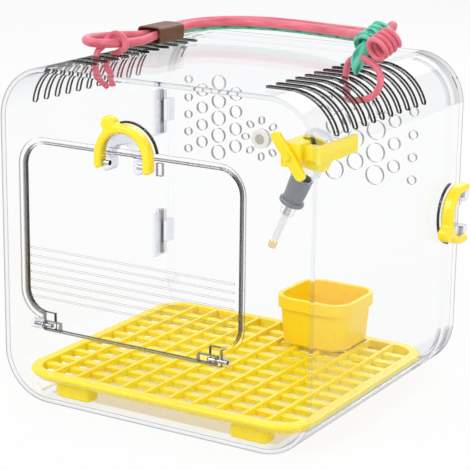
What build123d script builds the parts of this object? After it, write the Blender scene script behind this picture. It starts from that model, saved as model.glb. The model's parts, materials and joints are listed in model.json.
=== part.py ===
from build123d import *
import math
import os

os.makedirs("parts", exist_ok=True)

# A clear pet carrier with a hinged rear cover, a small drop-down front door and a rope handle.
# X is across the cage, the front faces -Y, and Z is up. The origin is on the floor, mid-width and mid-depth.

# Overall body
width = 250.0
depth = 233.0
height = 242.0
wall = 3.0
corner_radius = 37.0
front_edge_radius = 6.0
back_edge_radius = 5.0
cover_length = 18.9
front_frame_depth = 6.0
seam_gap = 0.6

# Nesting lip of the rear cover
lip_depth = 3.0
lip_wall = 1.8
lip_gap = 0.5
lip_root = 4.0

# Vent slots over the two top corners
slot_count = 11
slot_pitch = 13.0
slot_width = 5.0
slot_top_inset = 55.0
slot_right_drop = 27.5
slot_left_drop = 33.0
slot_right_y = -16.0
slot_left_y = -9.5
slot_end_round = 2.3
slot_overrun = 6.0

# Front door
door_x = -14.2
door_width = 173.0
door_top = 190.35
door_wide_bottom = 69.6
door_bottom = 57.6
door_tongue_width = 128.0
door_corner_radius = 16.0
door_gap = 1.5
door_lip_width = 3.4
door_lip_height = 1.5
ridge_count = 7
ridge_pitch = 5.86
ridge_first_z = 80.5
ridge_width = 1.2
ridge_height = 0.7

# Door hinge, an axis along X at the tongue's lower corners
hinge_barrel_radius = 3.5
hinge_barrel_length = 7.0
hinge_axis_proud = 1.5
hinge_bay_length = 9.0
hinge_pin_radius = 1.3
hinge_running_gap = 0.06
hinge_lug_length = 7.5
hinge_end_gap = 0.5

# Arch latches, one on the door and one on the rear cover
latch_x = -13.5
latch_side_z = 126.8
latch_outer_radius = 22.3
latch_inner_radius = 16.6
latch_thickness = 9.5
latch_stand_off = 2.25
latch_arch_rise = 5.0
latch_leg_drop = 4.1
latch_ear_radius = 5.4
latch_ear_reach = 24.6
latch_ear_angle = 117.0
latch_edge_round = 2.6
latch_pivot_to_seam = 4.8
latch_pin_radius = 1.75
latch_pin_length = 9.0
post_inner_radius = 9.2
post_outer_radius = 16.2
post_height = 10.0
post_drop = 5.0
post_top = 3.9
post_round = 0.8
keeper_bottom = 6.0
guard_inner_radius = 22.1
guard_outer_radius = 23.5
guard_bottom = 9.0
guard_height = 1.6
stop_tab_width = 4.6
stop_tab_height = 8.6
stop_tab_proud = 3.0
stop_tab_gap = 0.4

# Rear hinges, on an upright axis outside the left wall
rear_hinge_offset = 5.0
rear_hinge_radius = 4.0
rear_hinge_height = 36.0
rear_hinge_ear = 8.5
rear_hinge_z = (57.0, 157.0)
rear_hinge_gap = 0.5
rear_hinge_leaf = 2.2
rear_hinge_ear_root = 6.0
rear_hinge_arm = 11.0
rear_hinge_leaf_length = 13.0
rear_hinge_pin_radius = 1.9

# Bubble vent and grommet in the rear cover
bubble_x = -16.6
bubble_left_pitch = 14.0
bubble_left_z = 142.4
bubble_left_rows = 5
bubble_left_columns = ((-98.5, 3.2), (-85.5, 4.6), (-70.0, 5.9), (-54.0, 5.0))
bubble_right_pitch = 17.4
bubble_right_z = 142.2
bubble_right_rows = 4
bubble_right_columns = ((35.0, 7.6), (52.8, 6.6), (70.0, 7.4), (85.5, 4.8), (101.0, 3.4))
grommet_x = -46.8
grommet_z = 158.5
grommet_core_radius = 5.5
grommet_flange_radius = 7.8
grommet_bore_radius = 4.1
grommet_flange = 1.6
plug_gap = 0.05
plug_length = 7.0
petal_count = 8
petal_ring_radius = 14.6
petal_length = 6.4
petal_width = 4.6

# Floor grate with its four feet
grate_width = 232.0
grate_front_gap = 2.0
grate_back_gap = 1.6
grate_corner_radius = 25.0
grate_foot_height = 11.0
grate_rim_height = 7.0
grate_rim_width = 8.0
grate_rim_chamfer = 4.5
grate_rim_round = 1.6
long_bar_count = 10
long_bar_pitch = 19.6
long_bar_width = 2.4
long_bar_height = 5.0
cross_bar_count = 10
cross_bar_pitch = 17.0
cross_bar_width = 6.0
cross_bar_height = 3.6
cross_bar_drop = 1.5
long_bar_proud = 0.5
foot_length = 30.0
foot_width = 14.0
foot_x = 73.0
foot_inset = 14.0
foot_round = 4.0
foot_edge_round = 1.5

# Food cup
cup_x = 40.5
cup_y = 65.0
cup_top_x = 59.0
cup_top_y = 57.0
cup_foot_x = 53.0
cup_foot_y = 51.0
cup_height = 38.0
cup_corner_radius = 15.0
cup_foot_corner_radius = 13.0
cup_wall = 2.0
cup_band_height = 9.0
cup_band_proud = 1.5
cup_edge_round = 0.8
cup_foot_round = 2.5

# Drinker: a small bottle hung tilted in a ring bracket; lengths run along its axis from the tip
drinker_from_side = 54.2
drinker_from_front = 44.5
drinker_from_top = 110.7
drinker_tilt = 24.0
tube_radius = 2.4
tube_bore_radius = 1.7
tube_start = 2.0
tube_end = 44.0
tip_radius = 3.0
tip_length = 5.5
tip_round = 0.8
tip_shoulder_round = 0.4
ball_radius = 1.55
ball_mouth_radius = 1.3
ball_mouth_depth = 0.3
ball_seat_gap = 0.06
collar_radius = 4.9
collar_start = 26.5
collar_length = 8.0
collar_round = 1.2
flange_radius = 8.6
flange_start = 35.0
flange_length = 3.0
flange_round = 1.0
cap_low_radius = 6.9
cap_top_radius = 7.9
cap_end = 55.0
cap_bore_radius = 6.3
cap_bore_start = 42.5
seal_radius = 6.0
seal_hole_radius = 3.7
seal_start = 43.6
seal_thickness = 1.2
neck_radius = 6.2
neck_wall = 1.3
bottle_radius = 10.0
bottle_wall = 1.3
bottle_shoulder_start = 55.6
bottle_shoulder_end = 61.0
bottle_end = 90.0
bottle_end_round = 6.0

# Bracket and lever that hold the drinker
ring_gap = 0.3
ring_wall = 3.0
ring_start = 68.0
ring_end = 80.0
pad_front = 30.0
pad_back = 22.0
pad_height = 11.6
pad_drop = 31.6
pad_thickness = 3.0
arm_front = 20.5
arm_width = 8.0
arm_height = 9.0
block_width = 14.0
block_height = 16.0
block_front = 24.5
block_left = 3.4
block_rise = 2.6
lever_length = 36.5
lever_radius = 3.6
lever_thickness = 4.2
lever_angle = -53.0
lever_edge_round = 1.0
lever_gap = 0.4
lever_pin_radius = 1.6
lever_pin_head_radius = 2.4
lever_pin_head_height = 0.8
lever_pin_depth = 7.0

# Rope handle: each route lists the points that the cord's straight runs go through
thick_cord = 6.4
thin_cord = 4.6
mint_cord = 3.6
tail_cord = 10.0
handle_route = (
    (107.5, -6.0, 265.0),
    (111.7, 3.8, 270.6),
    (105.0, 11.8, 270.8),
    (99.0, 19.5, 268.0),
    (89.5, 29.0, 262.0),
    (71.8, 47.5, 259.3),
    (50.3, 64.0, 257.0),
    (24.0, 78.0, 255.6),
    (-7.3, 86.0, 255.0),
    (-38.2, 85.5, 254.8),
    (-62.5, 77.0, 254.1),
    (-76.6, 61.0, 253.1),
    (-77.7, 30.0, 252.1),
    (-75.6, 3.0, 250.5),
    (-73.0, -15.0, 249.6),
    (-77.0, -30.0, 250.0),
    (-82.3, -45.5, 250.9),
    (-92.0, -54.0, 252.0),
    (-103.0, -42.5, 252.5),
    (-102.0, -22.5, 251.5),
    (-92.0, -7.5, 251.5),
    (-83.3, 5.0, 250.8),
    (-84.2, 30.0, 252.0),
    (-83.9, 61.5, 253.1),
    (-69.6, 81.5, 254.2),
    (-41.5, 93.0, 255.4),
    (-7.5, 93.5, 255.7),
    (25.8, 85.0, 256.3),
    (53.7, 70.5, 258.2),
    (76.6, 52.5, 260.9),
    (95.0, 34.0, 264.0),
    (107.0, 23.0, 270.8),
    (115.1, 11.5, 274.8),
    (117.8, 1.4, 270.8),
    (113.5, -8.6, 265.0),
)
mint_route = (
    (-81.1, 32.0, 247.8),
    (-81.0, 58.0, 248.4),
    (-67.1, 79.5, 249.5),
    (-40.3, 89.2, 250.5),
    (-7.4, 89.9, 250.8),
    (24.9, 81.6, 251.3),
    (52.3, 67.0, 252.9),
    (74.7, 49.5, 255.3),
    (92.5, 29.5, 256.6),
    (102.5, 19.0, 262.0),
    (109.0, 12.5, 265.0),
    (114.7, 6.2, 266.4),
    (113.7, 0.2, 264.0),
    (111.3, -5.4, 260.9),
)
hitch_route = (
    (-85.5, -39.5, 219.0),
    (-89.5, -47.5, 226.0),
    (-90.0, -48.5, 236.0),
    (-88.4, -48.5, 245.4),
    (-87.8, -40.5, 248.4),
    (-87.3, -35.5, 253.5),
    (-81.5, -35.0, 258.0),
    (-73.3, -36.3, 255.0),
    (-71.0, -36.8, 248.8),
    (-74.5, -35.5, 246.1),
    (-82.8, -35.5, 242.0),
    (-91.0, -35.5, 233.0),
    (-90.0, -28.5, 225.5),
    (-85.5, -33.0, 219.0),
)
ring_route = (
    (102.3, -17.4, 254.6),
    (97.3, -15.6, 253.2),
    (94.5, -16.0, 248.0),
    (93.5, -16.0, 236.0),
    (96.5, -18.5, 232.0),
    (101.0, -27.0, 228.0),
    (108.0, -29.0, 227.4),
    (122.0, -29.0, 231.5),
    (127.7, -29.5, 241.5),
    (124.9, -27.5, 249.8),
    (116.0, -24.6, 254.8),
    (109.5, -22.2, 255.6),
)
tail_route = (
    (109.5, -9.5, 263.7),
    (106.3, -17.5, 259.6),
    (104.5, -21.3, 249.0),
)
sleeve_length = 32.0
sleeve_width = 20.5
sleeve_height = 13.0
sleeve_wall = 1.3
sleeve_middle = (-80.3, 38.0, 250.8)

# Wound cords of the knot: each is a helix from a start point along one shared direction
coil_direction = (0.35, 0.82, 0.45)
coil_cord = 3.4
coil_pitch = 4.0
mint_coil_start = (107.0, -15.5, 260.5)
mint_coil_radius = 9.0
mint_coil_turns = 5
pink_coil_start = (122.1, -29.8, 262.8)
pink_coil_radius = 7.2
pink_coil_turns = 4

front_y = -depth / 2
back_y = depth / 2
cover_y = back_y - cover_length
seam_y = cover_y - seam_gap
side_x = width / 2
middle_z = height / 2
inner_width = width - 2 * wall
inner_height = height - 2 * wall
inner_radius = corner_radius - wall


def upright(y):
    """The plane across the cage at y, seen from the front: sketch x is X and sketch y is Z."""
    return Plane(origin=(0, y, 0), x_dir=(1, 0, 0), z_dir=(0, -1, 0))


def faces_at_y(part, y):
    """The flat faces of a part that lie across the cage at y."""
    return part.faces().filter_by(Axis.Y).filter_by_position(Axis.Y, y - 0.01, y + 0.01)


slot_top_x = side_x - slot_top_inset


def slot_bar(low_drop):
    """The shape cut away for one vent slot over the right top corner, with rounded ends."""
    slot_low_z = height - low_drop
    with BuildPart() as bar:
        with BuildSketch(upright(slot_width / 2)):
            Polygon(
                (slot_top_x, height + slot_overrun),
                (slot_top_x, height - 3 * wall),
                (side_x - 3 * wall - slot_overrun, slot_low_z),
                (side_x + slot_overrun, slot_low_z),
                (side_x + slot_overrun, height + slot_overrun),
                align=None,
            )
        extrude(amount=slot_width)
        fillet(bar.edges().filter_by(Axis.Z).group_by(Axis.X)[0], slot_end_round)
        fillet(bar.edges().filter_by(Axis.X).group_by(Axis.Z)[0], slot_end_round)
    return bar.part


def door_outline(grow, tongue_grow, mode=Mode.ADD):
    """Sketches the door's outline, larger by grow all round and by tongue_grow at the tongue's ends."""
    top = door_top + grow
    low = door_wide_bottom - grow
    with Locations((door_x, (top + low) / 2)):
        RectangleRounded(door_width + 2 * grow, top - low, door_corner_radius + grow, mode=mode)
    bottom = door_bottom - grow
    with Locations((door_x, (bottom + middle_z) / 2)):
        Rectangle(door_tongue_width + 2 * tongue_grow, middle_z - bottom, mode=mode)


# Front frame of the shell: the front wall with the door opening and its raised lip
frame_back_y = front_y + front_frame_depth
with BuildPart() as front_frame:
    with BuildSketch(upright(frame_back_y)):
        with Locations((0, middle_z)):
            RectangleRounded(width, height, corner_radius)
    extrude(amount=front_frame_depth)
    fillet(faces_at_y(front_frame, front_y).edges(), front_edge_radius - 0.01)
    with BuildSketch(upright(frame_back_y)):
        with Locations((0, middle_z)):
            RectangleRounded(inner_width, inner_height, inner_radius)
    extrude(amount=front_frame_depth - wall, mode=Mode.SUBTRACT)
    fillet(faces_at_y(front_frame, front_y + wall).edges(), front_edge_radius - wall - 0.01)
    with BuildSketch(upright(frame_back_y)):
        door_outline(door_gap, hinge_bay_length)
    extrude(amount=2 * front_frame_depth, mode=Mode.SUBTRACT)
    with BuildSketch(upright(front_y)):
        lip_top = door_top + door_gap + door_lip_width
        lip_low = door_wide_bottom - door_gap - door_lip_width
        with Locations((door_x, (lip_top + lip_low) / 2)):
            lip_radius = door_corner_radius + door_gap + door_lip_width
            RectangleRounded(door_width + 2 * (door_gap + door_lip_width), lip_top - lip_low, lip_radius)
        door_outline(door_gap, hinge_bay_length, Mode.SUBTRACT)
    extrude(amount=door_lip_height)
front_frame.part.label = "front_frame"
export_step(front_frame.part, "parts/front_frame.step")

# Tub of the shell: the four walls behind the front frame, open at the back, with the vent slots
with BuildPart() as shell_tub:
    with BuildSketch(upright(seam_y)):
        with Locations((0, middle_z)):
            RectangleRounded(width, height, corner_radius)
            RectangleRounded(inner_width, inner_height, inner_radius, mode=Mode.SUBTRACT)
    extrude(amount=seam_y - frame_back_y)
    with Locations((0, slot_right_y, 0)):
        with GridLocations(0, slot_pitch, 1, slot_count):
            add(slot_bar(slot_right_drop), mode=Mode.SUBTRACT)
    with Locations((0, slot_left_y, 0)):
        with GridLocations(0, slot_pitch, 1, slot_count):
            add(slot_bar(slot_left_drop).mirror(Plane.YZ), mode=Mode.SUBTRACT)
shell_tub.part.label = "shell_tub"
export_step(shell_tub.part, "parts/shell_tub.step")

# Lugs on the front wall that hold the door's two hinge pins
hinge_y = front_y - hinge_axis_proud
hinge_z = door_bottom + hinge_barrel_radius
tongue_end = door_tongue_width / 2
bay_end = tongue_end + hinge_bay_length
lug_start = bay_end + hinge_end_gap
lug_end = lug_start + hinge_lug_length
barrel_end = tongue_end + hinge_barrel_length


def hinge_bar(start, end, radius, side, mode=Mode.ADD):
    """A round bar on the door's hinge axis, between two distances to one side of the door's middle."""
    with Locations((door_x + side * (start + end) / 2, hinge_y, hinge_z)):
        Cylinder(radius, end - start, rotation=(0, 90, 0), mode=mode)


for side, name in ((-1, "left"), (1, "right")):
    with BuildPart() as door_hinge_lug:
        hinge_bar(lug_start, lug_end, hinge_barrel_radius, side)
        with Locations((door_x + side * (lug_start + lug_end) / 2, front_y, hinge_z)):
            root_align = (Align.CENTER, Align.MAX, Align.CENTER)
            Box(hinge_lug_length, hinge_axis_proud, 2 * hinge_barrel_radius, align=root_align)
            wall_align = (Align.CENTER, Align.MIN, Align.CENTER)
            Box(2 * hinge_lug_length, 2 * wall, 4 * hinge_barrel_radius, align=wall_align, mode=Mode.SUBTRACT)
        hinge_bar(lug_start - 1, lug_end - 1.5, hinge_pin_radius, side, Mode.SUBTRACT)
    door_hinge_lug.part.label = f"door_hinge_lug_{name}"
    export_step(door_hinge_lug.part, f"parts/door_hinge_lug_{name}.step")

    with BuildPart() as door_hinge_pin:
        hinge_bar(tongue_end + 1, lug_end - 1.5, hinge_pin_radius, side)
    door_hinge_pin.part.label = f"door_hinge_pin_{name}"
    export_step(door_hinge_pin.part, f"parts/door_hinge_pin_{name}.step")

# Front door: a flat clear panel with seven low ridges, a stop tab and a knuckle at each end of its tongue
front_pivot_z = door_top + door_gap / 2 - latch_pivot_to_seam
with BuildPart() as front_door:
    with BuildSketch(upright(front_y + wall)):
        door_outline(0, 0)
    extrude(amount=wall)
    for index in range(ridge_count):
        with Locations((door_x, front_y, ridge_first_z + index * ridge_pitch)):
            ridge_align = (Align.CENTER, Align.MAX, Align.CENTER)
            Box(door_width - 2 * door_lip_width, ridge_height, ridge_width, align=ridge_align)
    with Locations((latch_x + latch_outer_radius + stop_tab_gap, front_y, front_pivot_z + latch_pivot_to_seam)):
        tab_align = (Align.MIN, Align.MAX, Align.MAX)
        with Locations((0, 0, -door_gap)):
            Box(stop_tab_width, stop_tab_proud, stop_tab_height, align=tab_align)
    for side in (-1, 1):
        hinge_bar(tongue_end - hinge_barrel_length, barrel_end, hinge_barrel_radius, side)
    for side in (-1, 1):
        hinge_bar(tongue_end, barrel_end + 1, hinge_pin_radius + hinge_running_gap, side, Mode.SUBTRACT)
front_door.part.label = "front_door"
export_step(front_door.part, "parts/front_door.step")

# The arch latch, made once: its pivot is at the origin, its crown points to +Y and its face to +Z
leg_width = latch_outer_radius - latch_inner_radius
leg_middle = (latch_outer_radius + latch_inner_radius) / 2
leg_end_y = leg_width / 2 - latch_leg_drop
pivot_height = latch_stand_off + latch_thickness / 2
ear_x = latch_ear_reach * math.cos(math.radians(latch_ear_angle))
ear_y = latch_arch_rise + latch_ear_reach * math.sin(math.radians(latch_ear_angle))
with BuildPart() as latch_form:
    with BuildSketch(Plane.XY.offset(latch_stand_off)) as latch_sketch:
        with Locations((0, latch_arch_rise)):
            Circle(latch_outer_radius)
            Rectangle(3 * latch_outer_radius, 2 * latch_outer_radius, align=(Align.CENTER, Align.MAX), mode=Mode.SUBTRACT)
        with Locations((-leg_middle, latch_arch_rise), (leg_middle, latch_arch_rise)):
            Rectangle(leg_width, latch_arch_rise - leg_end_y, align=(Align.CENTER, Align.MAX))
        with Locations((-leg_middle, leg_end_y), (leg_middle, leg_end_y)):
            Circle(leg_width / 2)
        with Locations((ear_x, ear_y)):
            Circle(latch_ear_radius)
        with Locations((0, latch_arch_rise)):
            Circle(latch_inner_radius, mode=Mode.SUBTRACT)
        ear_corners = latch_sketch.vertices().sort_by_distance(Vertex(ear_x, ear_y, latch_stand_off))[0:2]
        fillet(ear_corners, latch_edge_round)
    extrude(amount=latch_thickness)
    latch_rims = latch_form.edges().filter_by(GeomType.LINE, reverse=True) + latch_form.edges().filter_by(Axis.Y)
    fillet(latch_rims.filter_by(lambda edge: edge.bounding_box().size.Z < 0.1), latch_edge_round)
    for side in (-1, 1):
        with Locations((side * (latch_inner_radius + leg_width / 2 - 1.5), 0, pivot_height)):
            Cylinder(latch_pin_radius + hinge_running_gap, leg_width, rotation=(0, 90, 0), mode=Mode.SUBTRACT)

# One pair of clear posts that carry a latch, one pin, and the half-ring keeper that the latch snaps over
post_middle = (post_inner_radius + post_outer_radius) / 2
post_width = post_outer_radius - post_inner_radius
pin_start = post_middle - 1.5


def ring_sketch():
    """Sketches the half ring with two straight legs that both the posts and the keeper are cut from."""
    with Locations((0, latch_arch_rise)):
        Circle(post_outer_radius)
        Rectangle(3 * post_outer_radius, 2 * post_outer_radius, align=(Align.CENTER, Align.MAX), mode=Mode.SUBTRACT)
    with Locations((-post_middle, latch_arch_rise), (post_middle, latch_arch_rise)):
        Rectangle(post_width, latch_arch_rise + post_drop - post_width / 2, align=(Align.CENTER, Align.MAX))
    with Locations((-post_middle, post_width / 2 - post_drop), (post_middle, post_width / 2 - post_drop)):
        Circle(post_width / 2)
    with Locations((0, latch_arch_rise)):
        Circle(post_inner_radius, mode=Mode.SUBTRACT)


with BuildPart() as post_pair:
    with BuildSketch(Plane.XY):
        ring_sketch()
        with Locations((0, post_top)):
            Rectangle(4 * post_outer_radius, 4 * post_outer_radius, align=(Align.CENTER, Align.MIN), mode=Mode.SUBTRACT)
    extrude(amount=post_height)
    fillet(post_pair.edges().group_by(Axis.Z)[-1], post_round)
    for side in (-1, 1):
        with Locations((side * (pin_start + post_width), 0, pivot_height)):
            Cylinder(latch_pin_radius, 2 * post_width, rotation=(0, 90, 0), mode=Mode.SUBTRACT)

with BuildPart() as keeper_form:
    with BuildSketch(Plane.XY):
        ring_sketch()
        with Locations((0, keeper_bottom)):
            Rectangle(4 * post_outer_radius, 4 * post_outer_radius, align=(Align.CENTER, Align.MAX), mode=Mode.SUBTRACT)
    extrude(amount=post_height)
    fillet(keeper_form.edges().group_by(Axis.Z)[-1], post_round)

with BuildPart() as guard_form:
    with BuildSketch(Plane.XY):
        with Locations((0, latch_arch_rise)):
            Circle(guard_outer_radius)
            Circle(guard_inner_radius, mode=Mode.SUBTRACT)
        with Locations((0, guard_bottom)):
            Rectangle(3 * guard_outer_radius, 3 * guard_outer_radius, align=(Align.CENTER, Align.MAX), mode=Mode.SUBTRACT)
    extrude(amount=guard_height)

with BuildPart() as latch_pin_form:
    with Locations((pin_start, 0, pivot_height)):
        pin_align = (Align.CENTER, Align.CENTER, Align.MIN)
        Cylinder(latch_pin_radius, latch_pin_length, rotation=(0, 90, 0), align=pin_align)

# Both latches with their posts, pins, keepers and guards, placed on the front wall and on the right wall
side_pivot_y = cover_y - seam_gap / 2 + latch_pivot_to_seam
front_latch_plane = Plane(origin=(latch_x, front_y, front_pivot_z), x_dir=(1, 0, 0), z_dir=(0, -1, 0))
side_latch_plane = Plane(origin=(side_x, side_pivot_y, latch_side_z), x_dir=(0, 0, 1), z_dir=(1, 0, 0))
for name, plane in (("front", front_latch_plane), ("side", side_latch_plane)):
    with BuildPart() as latch:
        add(latch_form.part.moved(plane.location))
    latch.part.label = f"{name}_latch"
    export_step(latch.part, f"parts/{name}_latch.step")

    with BuildPart() as keeper:
        add(keeper_form.part.moved(plane.location))
        add(front_frame.part, mode=Mode.SUBTRACT)
    keeper.part.label = f"{name}_keeper"
    export_step(keeper.part, f"parts/{name}_keeper.step")

    with BuildPart() as guard:
        add(guard_form.part.moved(plane.location))
        add(front_frame.part, mode=Mode.SUBTRACT)
    guard.part.label = f"{name}_guard"
    export_step(guard.part, f"parts/{name}_guard.step")

    for index, end in enumerate(("a", "b")):
        post_solid = post_pair.part.solids().sort_by(Axis.X)[index]
        with BuildPart() as post:
            add(post_solid.moved(plane.location))
        post.part.label = f"{name}_post_{end}"
        export_step(post.part, f"parts/{name}_post_{end}.step")

        turned = Location((0, 0, 0), (0, 0, 180 - 180 * index))
        pin_solid = latch_pin_form.part.moved(turned)
        with BuildPart() as latch_pin:
            add(pin_solid.moved(plane.location))
        latch_pin.part.label = f"{name}_latch_pin_{end}"
        export_step(latch_pin.part, f"parts/{name}_latch_pin_{end}.step")


def bubble_columns(columns, rows, low_z, pitch):
    """Sketches columns of round vents; every second column is shifted half a pitch and has one vent less."""
    for index, (offset_x, radius) in enumerate(columns):
        shift = index % 2
        for row in range(rows - shift):
            with Locations((bubble_x + offset_x, low_z + (row + shift / 2) * pitch)):
                Circle(radius)


# Rear cover: a shallow tub with a lip that nests in the shell, bubble holes and a ring of petal slots
with BuildPart() as rear_cover:
    with BuildSketch(upright(back_y)):
        with Locations((0, middle_z)):
            RectangleRounded(width, height, corner_radius)
    extrude(amount=cover_length)
    fillet(faces_at_y(rear_cover, back_y).edges(), back_edge_radius)
    with BuildSketch(upright(back_y - wall)):
        with Locations((0, middle_z)):
            RectangleRounded(inner_width, inner_height, inner_radius)
    extrude(amount=cover_length, mode=Mode.SUBTRACT)
    fillet(faces_at_y(rear_cover, back_y - wall).edges(), back_edge_radius - wall)
    with BuildSketch(upright(cover_y + lip_root)):
        with Locations((0, middle_z)):
            RectangleRounded(inner_width + 0.4, inner_height + 0.4, inner_radius + 0.2)
            lip_inset = 2 * (lip_gap + lip_wall)
            lip_radius = inner_radius - lip_gap - lip_wall
            RectangleRounded(inner_width - lip_inset, inner_height - lip_inset, lip_radius, mode=Mode.SUBTRACT)
    extrude(amount=lip_root)
    with BuildSketch(upright(cover_y)):
        with Locations((0, middle_z)):
            RectangleRounded(inner_width - 2 * lip_gap, inner_height - 2 * lip_gap, inner_radius - lip_gap)
            RectangleRounded(inner_width - lip_inset, inner_height - lip_inset, lip_radius, mode=Mode.SUBTRACT)
    extrude(amount=lip_depth + seam_gap)
    with BuildSketch(upright(back_y + wall)):
        bubble_columns(bubble_left_columns, bubble_left_rows, bubble_left_z, bubble_left_pitch)
        bubble_columns(bubble_right_columns, bubble_right_rows, bubble_right_z, bubble_right_pitch)
        with Locations((grommet_x, grommet_z)):
            Circle(grommet_core_radius)
            with PolarLocations(petal_ring_radius, petal_count):
                SlotOverall(petal_length, petal_width)
    extrude(amount=3 * wall, mode=Mode.SUBTRACT)
rear_cover.part.label = "rear_cover"
export_step(rear_cover.part, "parts/rear_cover.step")

# Grommet in the rear cover and the grey plug pressed into it
with BuildPart() as vent_grommet:
    with BuildSketch(upright(back_y)):
        with Locations((grommet_x, grommet_z)):
            Circle(grommet_core_radius)
    extrude(amount=wall)
    with BuildSketch(upright(back_y - wall)):
        with Locations((grommet_x, grommet_z)):
            Circle(grommet_flange_radius)
    extrude(amount=grommet_flange)
    with BuildSketch(upright(back_y + grommet_flange)):
        with Locations((grommet_x, grommet_z)):
            Circle(grommet_flange_radius)
    extrude(amount=grommet_flange)
    with BuildSketch(upright(back_y + wall)):
        with Locations((grommet_x, grommet_z)):
            Circle(grommet_bore_radius)
    extrude(amount=4 * wall, mode=Mode.SUBTRACT)
vent_grommet.part.label = "vent_grommet"
export_step(vent_grommet.part, "parts/vent_grommet.step")

with BuildPart() as grommet_plug:
    with BuildSketch(upright(back_y + grommet_flange)):
        with Locations((grommet_x, grommet_z)):
            Circle(grommet_bore_radius - plug_gap)
    extrude(amount=plug_length)
    fillet(grommet_plug.edges(), 0.8)
grommet_plug.part.label = "grommet_plug"
export_step(grommet_plug.part, "parts/grommet_plug.step")

# Rear hinges: a two-eared bracket on the shell, a knuckle on the cover and an upright pin
rear_hinge_x = -side_x - rear_hinge_offset
rear_hinge_y = cover_y + 0.4
leaf_align = (Align.MIN, Align.MAX, Align.MIN)
knuckle_align = (Align.MIN, Align.MIN, Align.MIN)
low_align = (Align.CENTER, Align.CENTER, Align.MIN)
knuckle_height = rear_hinge_height - 2 * (rear_hinge_ear + rear_hinge_gap)
leaf_back_y = rear_hinge_y - rear_hinge_radius - rear_hinge_gap
for name, low in zip(("lower", "upper"), rear_hinge_z):
    with BuildPart() as hinge_bracket:
        with Locations((-side_x - rear_hinge_leaf, leaf_back_y, low)):
            Box(rear_hinge_leaf, rear_hinge_leaf_length, rear_hinge_height, align=leaf_align)
        for foot in (low, low + rear_hinge_height - rear_hinge_ear):
            with Locations((rear_hinge_x, rear_hinge_y, foot)):
                Cylinder(rear_hinge_radius, rear_hinge_ear, align=low_align)
            with Locations((rear_hinge_x, seam_y - 0.4, foot)):
                Box(rear_hinge_offset, rear_hinge_ear_root, rear_hinge_ear, align=leaf_align)
        with Locations((rear_hinge_x, rear_hinge_y, low - 1)):
            Cylinder(rear_hinge_pin_radius, rear_hinge_height + 2, align=low_align, mode=Mode.SUBTRACT)
    hinge_bracket.part.label = f"hinge_bracket_{name}"
    export_step(hinge_bracket.part, f"parts/hinge_bracket_{name}.step")

    with BuildPart() as hinge_knuckle:
        knuckle_low = low + rear_hinge_ear + rear_hinge_gap
        with Locations((rear_hinge_x, rear_hinge_y, knuckle_low)):
            Cylinder(rear_hinge_radius, knuckle_height, align=low_align)
        with Locations((rear_hinge_x, cover_y + 0.4, knuckle_low)):
            Box(rear_hinge_offset, rear_hinge_arm, knuckle_height, align=knuckle_align)
        with Locations((rear_hinge_x, rear_hinge_y, low)):
            bore_radius = rear_hinge_pin_radius + hinge_running_gap
            Cylinder(bore_radius, rear_hinge_height, align=low_align, mode=Mode.SUBTRACT)
    hinge_knuckle.part.label = f"hinge_knuckle_{name}"
    export_step(hinge_knuckle.part, f"parts/hinge_knuckle_{name}.step")

    with BuildPart() as hinge_pin:
        with Locations((rear_hinge_x, rear_hinge_y, low - 0.6)):
            Cylinder(rear_hinge_pin_radius, rear_hinge_height + 1.2, align=low_align)
        fillet(hinge_pin.edges().filter_by(GeomType.CIRCLE), 0.4)
    hinge_pin.part.label = f"rear_hinge_pin_{name}"
    export_step(hinge_pin.part, f"parts/rear_hinge_pin_{name}.step")

# Floor grate: a rim, thin bars along the cage over flatter bars across it, and four feet
rim_low = wall + grate_foot_height
rim_top = rim_low + grate_rim_height
grate_front = front_y + wall + grate_front_gap
grate_back = cover_y - lip_depth - grate_back_gap
grate_length = grate_back - grate_front
grate_y = (grate_back + grate_front) / 2
inner_x = grate_width - 2 * grate_rim_width
inner_y = grate_length - 2 * grate_rim_width
with BuildPart() as grate_rim:
    with BuildSketch(Plane.XY.offset(rim_low)):
        with Locations((0, grate_y)):
            RectangleRounded(grate_width, grate_length, grate_corner_radius)
    extrude(amount=grate_rim_height)
    chamfer(grate_rim.edges().group_by(Axis.Z)[0], grate_rim_chamfer)
    fillet(grate_rim.edges().group_by(Axis.Z)[-1], grate_rim_round)
    with BuildSketch(Plane.XY.offset(rim_low - 1)):
        with Locations((0, grate_y)):
            RectangleRounded(inner_x, inner_y, grate_corner_radius - grate_rim_width)
    extrude(amount=grate_rim_height + 2, mode=Mode.SUBTRACT)
grate_rim.part.label = "grate_rim"
export_step(grate_rim.part, "parts/grate_rim.step")

with BuildPart() as grate_bars:
    with Locations((0, grate_y, rim_top + long_bar_proud)):
        bar_align = (Align.CENTER, Align.CENTER, Align.MAX)
        with GridLocations(long_bar_pitch, 0, long_bar_count, 1):
            Box(long_bar_width, grate_length, long_bar_height, align=bar_align)
    with Locations((0, grate_y, rim_top - cross_bar_drop)):
        with GridLocations(0, cross_bar_pitch, 1, cross_bar_count):
            Box(grate_width, cross_bar_width, cross_bar_height, align=bar_align)
    with BuildSketch(Plane.XY.offset(rim_low)):
        with Locations((0, grate_y)):
            RectangleRounded(inner_x, inner_y, grate_corner_radius - grate_rim_width)
    extrude(amount=2 * grate_rim_height, mode=Mode.INTERSECT)
grate_bars.part.label = "grate_bars"
export_step(grate_bars.part, "parts/grate_bars.step")

foot_places = [(x, y) for x in (-foot_x, foot_x) for y in (grate_front + foot_inset, grate_back - foot_inset)]
for name, place in zip(("front_left", "back_left", "front_right", "back_right"), foot_places):
    with BuildPart() as grate_foot:
        with BuildSketch(Plane.XY.offset(wall)):
            with Locations(place):
                RectangleRounded(foot_length, foot_width, foot_round)
        extrude(amount=grate_foot_height)
        fillet(grate_foot.edges().group_by(Axis.Z)[0], foot_edge_round)
    grate_foot.part.label = f"grate_foot_{name}"
    export_step(grate_foot.part, f"parts/grate_foot_{name}.step")

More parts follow.
